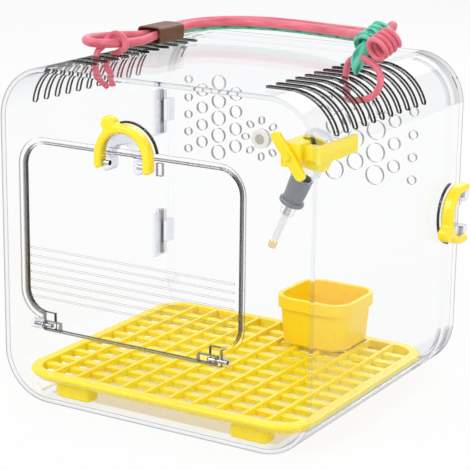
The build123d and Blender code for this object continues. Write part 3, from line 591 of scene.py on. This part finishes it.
@dataclass(frozen=True)
class Hide(Finish):
    """Smooth brown hide with pores and a cloudy tone."""

    name: str = "brown_hide"
    light: Colour = (0.17, 0.062, 0.015, 1.0)
    deep: Colour = (0.07, 0.023, 0.006, 1.0)
    pore_scale: float = 700.0
    pore_depth: float = 0.00012
    cloud_scale: float = 60.0
    cloud: Pair = (0.3, 0.7)

    def material(self) -> bpy.types.Material:
        """Builds the finish.

        Returns:
            The material.
        """
        g = self.graph()
        place = g.coordinates(Coordinates.PLACE)
        pores = g.add("TexVoronoi", {"Vector": place, "Scale": self.pore_scale})
        cloud = g.levels(g.noise(place, self.cloud_scale), self.cloud)
        return g.finish(g.add("BsdfPrincipled", {
            "Base Color": g.mix(cloud, self.light, self.deep),
            "Roughness": 0.48,
            "Normal": g.bump(pores.outputs["Distance"], self.pore_depth),
        }))


# Painted shade on the cut faces of the clear walls: the vent slots, the round vents,
# the door opening and its lip, and the door's edge and ridges.
VENT_SLOTS = CutFaces(
    Cut.SLOT, (-0.13, -0.0845, 0.206), (0.13, 0.0595, 0.25), grey(0.012))
ROUND_VENTS = CutFaces(
    Cut.FACE, (-0.12, 0.11, 0.11), (0.12, 0.12, 0.225), grey(0.16), 0.8)
OPENING_EDGE = CutFaces(
    Cut.FACE, (-0.11, -0.1166, 0.05), (0.08, -0.108, 0.197), grey(0.01), 0.8)
LIP_EDGE = CutFaces(
    Cut.FACE, (-0.11, -0.12, 0.05), (0.08, -0.1166, 0.197), grey(0.14), 0.6)
DOOR_EDGE = CutFaces(
    Cut.FACE, (-0.11, -0.1166, 0.05), (0.08, -0.108, 0.197), grey(0.006))
DOOR_RIDGES = CutFaces(
    Cut.FACE, (-0.11, -0.125, 0.05), (0.08, -0.1166, 0.197), grey(0.16), 0.8)


class Materials:
    """Makes each finish's material once."""

    def __init__(self, *finishes: Finish) -> None:
        """Keeps the finishes by name.

        Args:
            *finishes: all that the solids may get.
        """
        self.finishes = {finish.name: finish for finish in finishes}
        self.made: dict[str, bpy.types.Material] = {}

    def of(self, name: str) -> bpy.types.Material:
        """Finds or makes the material of a finish.

        Args:
            name: the finish's name.

        Returns:
            The material.
        """
        if name not in self.made:
            self.made[name] = self.finishes[name].material()
        return self.made[name]


MATERIALS = Materials(
    # The clear finishes' curve and edge tints are painted shade. Their cuts are
    # painted shade on cut faces, and the tub's floor carries the grate's painted glow
    # and shade.
    ClearPlastic("tub_clear", gloss=0.3, cuts=(VENT_SLOTS,), floor=PaintedGrateGlowAndShade()),
    ClearPlastic(
        "frame_clear", curve=(0.3, 0.3, 0.32, 1.0), edge_shade=(0.04, 0.04, 0.04, 1.0),
        gloss=0.0, cuts=(OPENING_EDGE, LIP_EDGE)),
    ClearPlastic("door_clear", cuts=(DOOR_EDGE, DOOR_RIDGES)),
    ClearPlastic(
        "cover_clear", curve=(0.35, 0.35, 0.37, 1.0), edge_shade=(0.0, 0.0, 0.0, 1.0),
        gloss=0.0, cuts=(ROUND_VENTS,)),
    ClearPlastic(
        "fitting_clear", (0.94, 0.94, 0.96, 1.0), (0.62, 0.62, 0.66, 1.0),
        (0.4, 0.4, 0.43, 1.0), (0.03, 0.03, 0.03, 1.0), gloss=0.2),
    ClearPlastic(
        "bottle_clear", (0.95, 0.96, 0.96, 1.0), curve=(0.7, 0.71, 0.72, 1.0),
        roughness=0.06),
    MouldedPlastic("guard_black", grey(0.012), grey(0.02), 0.3),
    MouldedPlastic(
        "sun_yellow", (0.96, 0.77, 0.02, 1.0), (0.95, 0.71, 0.012, 1.0), 0.27, 0.12),
    MouldedPlastic(
        "cup_gold", (0.96, 0.7, 0.018, 1.0), (0.95, 0.64, 0.012, 1.0), 0.3, 0.12),
    MouldedPlastic(
        "cap_grey", (0.22, 0.23, 0.26, 1.0), (0.15, 0.16, 0.18, 1.0), 0.35),
    MouldedPlastic("plug_grey", grey(0.5), grey(0.42), 0.4),
    MouldedPlastic("grommet_white", grey(0.9), grey(0.84), 0.4),
    MouldedPlastic("seal_rubber", grey(0.62), grey(0.5), 0.75),
    Metal("pin_steel", (0.56, 0.56, 0.58, 1.0), 0.24),
    Metal("tube_steel", (0.84, 0.84, 0.83, 1.0), 0.3),
    Metal("tip_brass", (0.86, 0.68, 0.36, 1.0), 0.2),
)


@dataclass
class Dressed:
    """A sub-assembly whose solids keep their shape and get their finishes here."""

    name: str
    finishes: dict[str, tuple[str, ...]]

    def dress(self, nodes: dict[str, bpy.types.Object]) -> None:
        """Puts each finish on its solids.

        Args:
            nodes: the frame's solids by name.
        """
        for finish, names in self.finishes.items():
            material = MATERIALS.of(finish)
            for name in names:
                data = nodes[name].data
                data.materials.clear()
                data.materials.append(material)
                LOG.info("%s: %s gets %s", self.name, name, finish)


CAGE = (
    Dressed("shell", {
        "frame_clear": ("front_frame",),
        "tub_clear": ("shell_tub",),
        "fitting_clear": (
            "door_hinge_lug_left", "door_hinge_lug_right", "front_keeper",
            "side_keeper", "hinge_bracket_lower", "hinge_bracket_upper"),
        "guard_black": ("front_guard", "side_guard"),
        "pin_steel": (
            "door_hinge_pin_left", "door_hinge_pin_right",
            "rear_hinge_pin_lower", "rear_hinge_pin_upper"),
        "sun_yellow": ("bottle_bracket", "lever_pin"),
    }),
    Dressed("cover", {
        "cover_clear": ("rear_cover",),
        "fitting_clear": (
            "hinge_knuckle_lower", "hinge_knuckle_upper",
            "side_post_a", "side_post_b"),
        "pin_steel": ("side_latch_pin_a", "side_latch_pin_b"),
        "grommet_white": ("vent_grommet",),
        "plug_grey": ("grommet_plug",),
        "sun_yellow": ("side_latch",),
    }),
    Dressed("door", {
        "door_clear": ("front_door",),
        "fitting_clear": ("front_post_a", "front_post_b"),
        "pin_steel": ("front_latch_pin_a", "front_latch_pin_b"),
        "sun_yellow": ("front_latch",),
    }),
    Dressed("floor", {
        "sun_yellow": (
            "grate_rim", "grate_bars", "grate_foot_front_left",
            "grate_foot_back_left", "grate_foot_front_right",
            "grate_foot_back_right"),
        "cup_gold": ("food_cup",),
    }),
    Dressed("drinker", {
        "bottle_clear": ("bottle_body", "tube_collar"),
        "cap_grey": ("bottle_cap",),
        "seal_rubber": ("bottle_seal",),
        "tube_steel": ("sipper_tube",),
        "tip_brass": ("tube_tip", "sipper_ball"),
        "sun_yellow": ("clamp_lever",),
    }),
)


@dataclass
class Strand:
    """A round strand on a smooth line through its route."""

    BEVEL_STEPS: ClassVar[int] = 6
    STEPS_BETWEEN_POINTS: ClassVar[int] = 10
    ORDER: ClassVar[int] = 3

    name: str
    route: Route
    diameter: float
    finish: Finish
    slot: str

    def line(self) -> bpy.types.Object:
        """Builds the strand.

        Returns:
            The strand's curve object.
        """
        curve = bpy.data.curves.new(self.name, "CURVE")
        curve.dimensions = "3D"
        curve.bevel_depth = self.diameter / 2
        curve.bevel_resolution = self.BEVEL_STEPS
        curve.resolution_u = self.STEPS_BETWEEN_POINTS
        curve.use_fill_caps = True
        spline = curve.splines.new("NURBS")
        spline.points.add(len(self.route) - 1)
        for knot, place in zip(spline.points, self.route):
            knot.co = (*place, 1.0)
        spline.order_u = self.ORDER
        spline.use_endpoint_u = True
        strand = bpy.data.objects.new(self.name, curve)
        bpy.context.scene.collection.objects.link(strand)
        strand.data.materials.append(self.finish.material())
        return strand


@dataclass
class Cord(Strand):
    """One free cord of the handle."""

    length: float
    far_end: str = "object"

    def build(self, node: str) -> bpy.types.Object:
        """Args:
            node: the solid that the cord stands for.

        Returns:
            The cord's curve object.
        """
        cord = self.line()
        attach(cord, "shell")
        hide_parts(node)
        LOG.info("cord %s, %.0f mm long", self.name, self.length * 1000)
        return cord


HANDLE_ROUTE: Route = (
    (0.1075, -0.006, 0.265), (0.1117, 0.0038, 0.2706), (0.105, 0.0118, 0.2708),
    (0.099, 0.0195, 0.268), (0.0895, 0.029, 0.262), (0.0718, 0.0475, 0.2593),
    (0.0503, 0.064, 0.257), (0.024, 0.078, 0.2556), (-0.0073, 0.086, 0.255),
    (-0.0382, 0.0855, 0.2548), (-0.0625, 0.077, 0.2541), (-0.0766, 0.061, 0.2531),
    (-0.0777, 0.030, 0.2521), (-0.0756, 0.003, 0.2505), (-0.073, -0.015, 0.2496),
    (-0.077, -0.030, 0.250), (-0.0823, -0.0455, 0.2509), (-0.092, -0.054, 0.252),
    (-0.103, -0.0425, 0.2525), (-0.102, -0.0225, 0.2515), (-0.092, -0.0075, 0.2515),
    (-0.0833, 0.005, 0.2508), (-0.0842, 0.030, 0.252), (-0.0839, 0.0615, 0.2531),
    (-0.0696, 0.0815, 0.2542), (-0.0415, 0.093, 0.2554), (-0.0075, 0.0935, 0.2557),
    (0.0258, 0.085, 0.2563), (0.0537, 0.0705, 0.2582), (0.0766, 0.0525, 0.2609),
    (0.095, 0.034, 0.264), (0.107, 0.023, 0.2708), (0.1151, 0.0115, 0.2748),
    (0.1178, 0.0014, 0.2708), (0.1135, -0.0086, 0.265),
)
MINT_ROUTE: Route = (
    (-0.0811, 0.032, 0.2478), (-0.081, 0.058, 0.2484), (-0.0671, 0.0795, 0.2495),
    (-0.0403, 0.0892, 0.2505), (-0.0074, 0.0899, 0.2508), (0.0249, 0.0816, 0.2513),
    (0.0523, 0.067, 0.2529), (0.0747, 0.0495, 0.2553), (0.0925, 0.0295, 0.2566),
    (0.1025, 0.019, 0.262), (0.109, 0.0125, 0.265), (0.1147, 0.0062, 0.2664),
    (0.1137, 0.0002, 0.264), (0.1113, -0.0054, 0.2609),
)
HITCH_ROUTE: Route = (
    (-0.0855, -0.0395, 0.219), (-0.0895, -0.0475, 0.226), (-0.090, -0.0485, 0.236),
    (-0.0884, -0.0485, 0.2454), (-0.0878, -0.0405, 0.2484), (-0.0873, -0.0355, 0.2535),
    (-0.0815, -0.035, 0.258), (-0.0733, -0.0363, 0.255), (-0.071, -0.0368, 0.2488),
    (-0.0745, -0.0355, 0.2461), (-0.0828, -0.0355, 0.242), (-0.091, -0.0355, 0.233),
    (-0.090, -0.0285, 0.2255), (-0.0855, -0.033, 0.219),
)
RING_ROUTE: Route = (
    (0.1023, -0.0174, 0.2546), (0.0973, -0.0156, 0.2532), (0.0945, -0.016, 0.248),
    (0.0935, -0.016, 0.236), (0.0965, -0.0185, 0.232), (0.101, -0.027, 0.228),
    (0.108, -0.029, 0.2274), (0.122, -0.029, 0.2315), (0.1277, -0.0295, 0.2415),
    (0.1249, -0.0275, 0.2498), (0.116, -0.0246, 0.2548), (0.1095, -0.0222, 0.2556),
)
TAIL_ROUTE: Route = (
    (0.1095, -0.0095, 0.2637), (0.1063, -0.0175, 0.2596), (0.1045, -0.0213, 0.2505),
    (0.1045, -0.0213, 0.244),
)

PINK_LIGHT: Colour = (0.84, 0.21, 0.28, 1.0)
# The deep pink serves both the cords' random streaks and the weave's painted shade.
PINK_DEEP: Colour = (0.58, 0.06, 0.105, 1.0)
MINT_LIGHT: Colour = (0.12, 0.62, 0.44, 1.0)
# The deep mint is painted shade in the braid's valleys.
MINT_PAINTED_SHADE: Colour = (0.015, 0.24, 0.165, 1.0)


@dataclass
class Winding:
    """A cord wound in close turns round the knot's core."""

    name: str
    start: Point
    radius: float
    turns: int
    finish: Finish
    slot: str
    direction: Point = (0.35, 0.82, 0.45)
    pitch: float = 0.004
    diameter: float = 0.0034
    steps: int = 16

    def route(self) -> Route:
        """Works out the points that the winding's line is drawn by.

        Returns:
            The points, a little outside the line so that it keeps its radius.
        """
        axis = Vector(self.direction).normalized()
        across = Vector((0, 1, 0)).cross(axis).normalized()
        up = axis.cross(across)
        reach = self.radius / math.cos(math.pi / self.steps)
        places = []
        for step in range(self.turns * self.steps + 1):
            angle = 2 * math.pi * step / self.steps
            rise = axis * (self.pitch * step / self.steps)
            side = (across * math.cos(angle) + up * math.sin(angle)) * reach
            places.append(tuple(Vector(self.start) + rise + side))
        return tuple(places)

    def build(self) -> bpy.types.Object:
        """Builds the winding in place of its solid.

        Returns:
            The winding's object.
        """
        strand = Strand(
            self.name, self.route(), self.diameter, self.finish, self.slot)
        cord = strand.line()
        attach(cord, "shell")
        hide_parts(self.name)
        LOG.info("winding %s, %d turns", self.name, self.turns)
        return cord


@dataclass
class KnotTail:
    """The thick braided tail that hangs out of the knot, with a narrow end."""

    route: Route = TAIL_ROUTE
    diameter: float = 0.010
    thickness: tuple[float, ...] = (1.0, 1.0, 1.0, 0.25)
    finish: Finish = BraidedCord(
        "mint_tail_braid", MINT_LIGHT, MINT_PAINTED_SHADE, 0.02, 0.0045, 6.0)

    def build(self) -> bpy.types.Object:
        """Builds the tail in place of its solid.

        Returns:
            The tail's object.
        """
        strand = Strand("tail", self.route, self.diameter, self.finish, "mint_cord")
        tail = strand.line()
        for knot, share in zip(tail.data.splines[0].points, self.thickness):
            knot.radius = share
        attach(tail, "shell")
        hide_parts("knot_tail")
        LOG.info("tail of the knot")
        return tail


@dataclass
class RopeSleeve:
    """The flat brown sleeve that holds the two strands side by side."""

    centre: Point = (-0.0803, 0.022, 0.2508)
    width: float = 0.0205
    height: float = 0.013
    length: float = 0.032
    wall: float = 0.0013
    squareness: float = 0.42
    segments: int = 40
    rings: int = 8
    edge_round: float = 0.0005
    edge_steps: int = 3

    def squared(self, share: float) -> float:
        """Returns a round section's coordinate, pushed out towards a square."""
        return math.copysign(abs(share) ** self.squareness, share)

    def tube(self) -> bpy.types.Mesh:
        """Builds the sleeve's outer wall, a squarish tube along the cords.

        Returns:
            The wall's mesh, in its place in the frame.
        """
        mesh = bmesh.new()
        bmesh.ops.create_circle(
            mesh, cap_ends=False, segments=self.segments, radius=1.0)
        quarter = Matrix.Rotation(math.pi / 2, 3, "X")
        bmesh.ops.rotate(mesh, verts=mesh.verts[:], matrix=quarter)
        for vertex in mesh.verts:
            vertex.co.x = self.squared(vertex.co.x) * self.width / 2
            vertex.co.z = self.squared(vertex.co.z) * self.height / 2
        start = (0, -self.length / 2, 0)
        bmesh.ops.translate(mesh, verts=mesh.verts[:], vec=start)
        edges = mesh.edges[:]
        for _ in range(self.rings):
            grown = bmesh.ops.extrude_edge_only(mesh, edges=edges)["geom"]
            edges = [part for part in grown if isinstance(part, bmesh.types.BMEdge)]
            moved = [part for part in grown if isinstance(part, bmesh.types.BMVert)]
            step = (0, self.length / self.rings, 0)
            bmesh.ops.translate(mesh, verts=moved, vec=step)
        bmesh.ops.recalc_face_normals(mesh, faces=mesh.faces[:])
        bmesh.ops.translate(mesh, verts=mesh.verts[:], vec=self.centre)
        data = bpy.data.meshes.new("sleeve")
        mesh.to_mesh(data)
        mesh.free()
        data.shade_smooth()
        return data

    def build(self) -> bpy.types.Object:
        """Builds the sleeve in place of its solid.

        Returns:
            The sleeve's object.
        """
        sleeve = bpy.data.objects.new("sleeve", self.tube())
        bpy.context.scene.collection.objects.link(sleeve)
        sleeve.data.materials.append(Hide().material())
        wall = sleeve.modifiers.new("wall", "SOLIDIFY")
        wall.thickness = self.wall
        wall.offset = -1.0
        rounding = sleeve.modifiers.new("edges", "BEVEL")
        rounding.width = self.edge_round
        rounding.segments = self.edge_steps
        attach(sleeve, "shell")
        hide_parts("rope_sleeve")
        LOG.info("sleeve of the rope")
        return sleeve


@dataclass
class RopeHandle:
    """The knotted rope handle with its strands, windings, tail and sleeve."""

    thick: float = 0.0064
    thin: float = 0.0046
    mint: float = 0.0036

    def cords(self) -> dict[str, Cord]:
        """Lists the free cords.

        Returns:
            The cords by the names of the solids that they stand for.
        """
        return {
            "handle_rope": Cord(
                "handle", HANDLE_ROUTE, self.thick,
                SleevedCord("pink_sleeve", PINK_LIGHT, PINK_DEEP, 0.743, 8.0),
                "pink_cord", 0.7432),
            "mint_strand": Cord(
                "mint_lead", MINT_ROUTE, self.mint,
                BraidedCord(
                    "mint_lead_braid", MINT_LIGHT, MINT_PAINTED_SHADE, 0.277, 0.004, 3.0),
                "mint_cord", 0.2771),
            "hitch_loop": Cord(
                "hitch", HITCH_ROUTE, self.thin,
                SleevedCord("pink_hitch", PINK_LIGHT, PINK_DEEP, 0.109, 6.0),
                "pink_cord", 0.1089),
            "ring_loop": Cord(
                "ring", RING_ROUTE, self.thin,
                SleevedCord("pink_ring", PINK_LIGHT, PINK_DEEP, 0.097, 6.0),
                "pink_cord", 0.0967),
        }

    def windings(self) -> tuple[Winding, ...]:
        """Lists the two windings of the knot.

        Returns:
            The mint winding and the pink one.
        """
        return (
            Winding(
                "mint_coil", (0.107, -0.0155, 0.2605), 0.009, 5,
                BraidedCord(
                    "mint_wound_braid", MINT_LIGHT, MINT_PAINTED_SHADE, 0.283, 0.004, 3.0),
                "mint_cord"),
            Winding(
                "pink_coil", (0.1221, -0.0298, 0.2628), 0.0072, 4,
                SleevedCord("pink_wound", PINK_LIGHT, PINK_DEEP, 0.182, 5.0),
                "pink_cord"),
        )

    def build(self) -> None:
        """Builds every cord of the handle, its tail and its sleeve."""
        for node, cord in self.cords().items():
            cord.build(node)
        for winding in self.windings():
            winding.build()
        KnotTail().build()
        RopeSleeve().build()


@dataclass(frozen=True)
class Viewpoint:
    """The camera's place, as fitted to the picture."""

    azimuth: float = 30.965
    elevation: float = 15.064
    roll: float = 0.704
    distance: float = 1.27593
    target: Point = (-0.00085, -0.00037, 0.11249)
    lens: float = 134.26
    sensor: float = 36.0
    nearest: float = 0.05
    farthest: float = 50.0

    def place(self) -> bpy.types.Object:
        """Makes the camera and sets it as the scene's.

        Returns:
            The camera object.
        """
        angles = (self.azimuth, self.elevation, self.roll)
        turn, lift, lean = (math.radians(angle) for angle in angles)
        back = Vector((
            math.sin(turn) * math.cos(lift),
            -math.cos(turn) * math.cos(lift),
            math.sin(lift),
        ))
        level = Vector((0, 0, 1)).cross(back).normalized()
        rise = back.cross(level)
        right = level * math.cos(lean) + rise * math.sin(lean)
        up = rise * math.cos(lean) - level * math.sin(lean)
        data = bpy.data.cameras.new("viewpoint")
        data.lens = self.lens
        data.sensor_width = self.sensor
        data.clip_start = self.nearest
        data.clip_end = self.farthest
        camera = bpy.data.objects.new("viewpoint", data)
        turned = Matrix((right, up, back)).transposed().to_4x4()
        turned.translation = Vector(self.target) + back * self.distance
        camera.matrix_world = turned
        bpy.context.scene.collection.objects.link(camera)
        bpy.context.scene.camera = camera
        return camera


@dataclass(frozen=True)
class Lamp:
    """One soft area lamp aimed at the cage."""

    name: str
    place: Point
    size: float
    power: float
    aim: Point = (0.0, 0.0, 0.12)

    def build(self) -> bpy.types.Object:
        """Builds the lamp.

        Returns:
            The lamp's object.
        """
        data = bpy.data.lights.new(self.name, "AREA")
        data.shape = "SQUARE"
        data.size = self.size
        data.energy = self.power
        lamp = bpy.data.objects.new(self.name, data)
        lamp.location = self.place
        toward = Vector(self.aim) - Vector(self.place)
        lamp.rotation_mode = "QUATERNION"
        lamp.rotation_quaternion = toward.to_track_quat("-Z", "Y")
        bpy.context.scene.collection.objects.link(lamp)
        return lamp


@dataclass(frozen=True)
class Studio:
    """The pale floor, the soft lamps and the white surroundings."""

    floor_size: float = 8.0
    floor_white: float = 0.86
    fill: float = 0.75
    lamps: tuple[Lamp, ...] = (
        Lamp("key", (-0.7, -1.3, 1.5), 0.9, 16.0),
        Lamp("side", (1.5, -0.5, 0.8), 0.8, 7.0),
        Lamp("back", (-0.2, 1.4, 1.2), 1.0, 8.0),
    )

    def seen(self, g: Graph) -> Socket:
        """Marks the rays that show a thing: straight, mirrored or through glass.

        Args:
            g: the node tree of the floor or the world.

        Returns:
            A value, 1 for such rays and 0 for the others.
        """
        path = g.add("LightPath").outputs
        mirrored = g.maths(
            "MAXIMUM", path["Is Glossy Ray"], path["Is Transmission Ray"])
        return g.maths("MAXIMUM", path["Is Camera Ray"], mirrored)

    def floor(self) -> bpy.types.Object:
        """Builds the floor, which looks white and keeps the cage's shadow.

        Returns:
            The floor's object.
        """
        mesh = bmesh.new()
        bmesh.ops.create_grid(
            mesh, x_segments=1, y_segments=1, size=self.floor_size / 2)
        data = bpy.data.meshes.new("floor")
        mesh.to_mesh(data)
        mesh.free()
        floor = bpy.data.objects.new("floor", data)
        bpy.context.scene.collection.objects.link(floor)
        g = Graph(bpy.data.materials.new("floor_white"))
        matt = g.add("BsdfDiffuse", {"Color": grey(0.8)})
        bright = g.add("Emission", {"Color": grey(1.0), "Strength": 1.0})
        share = g.product(self.seen(g), self.floor_white)
        data.materials.append(g.finish(g.blend(share, matt, bright)))
        return floor

    def surroundings(self) -> None:
        """Sets the world: white where it is seen, softer where it lights."""
        world = bpy.data.worlds.new("surroundings")
        bpy.context.scene.world = world
        g = Graph(world, "OutputWorld")
        lit = g.add("Background", {"Color": grey(1.0), "Strength": self.fill})
        white = g.add("Background", {"Color": grey(1.0), "Strength": 1.0})
        g.finish(g.blend(self.seen(g), lit, white))

    def build(self) -> None:
        """Builds the floor, the surroundings and the lamps."""
        bpy.context.scene.view_settings.view_transform = "Standard"
        self.floor()
        self.surroundings()
        for lamp in self.lamps:
            lamp.build()


def main() -> None:
    """Dresses the cage, builds the rope handle and sets up the studio."""
    logging.basicConfig(level=logging.INFO, format="%(name)s: %(message)s")
    for leftover in list(bpy.data.objects):
        bpy.data.objects.remove(leftover)
    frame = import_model()
    for part in CAGE:
        part.dress(frame["nodes"])
    RopeHandle().build()
    Studio().build()
    Viewpoint().place()


if __name__ == "__main__":
    main()
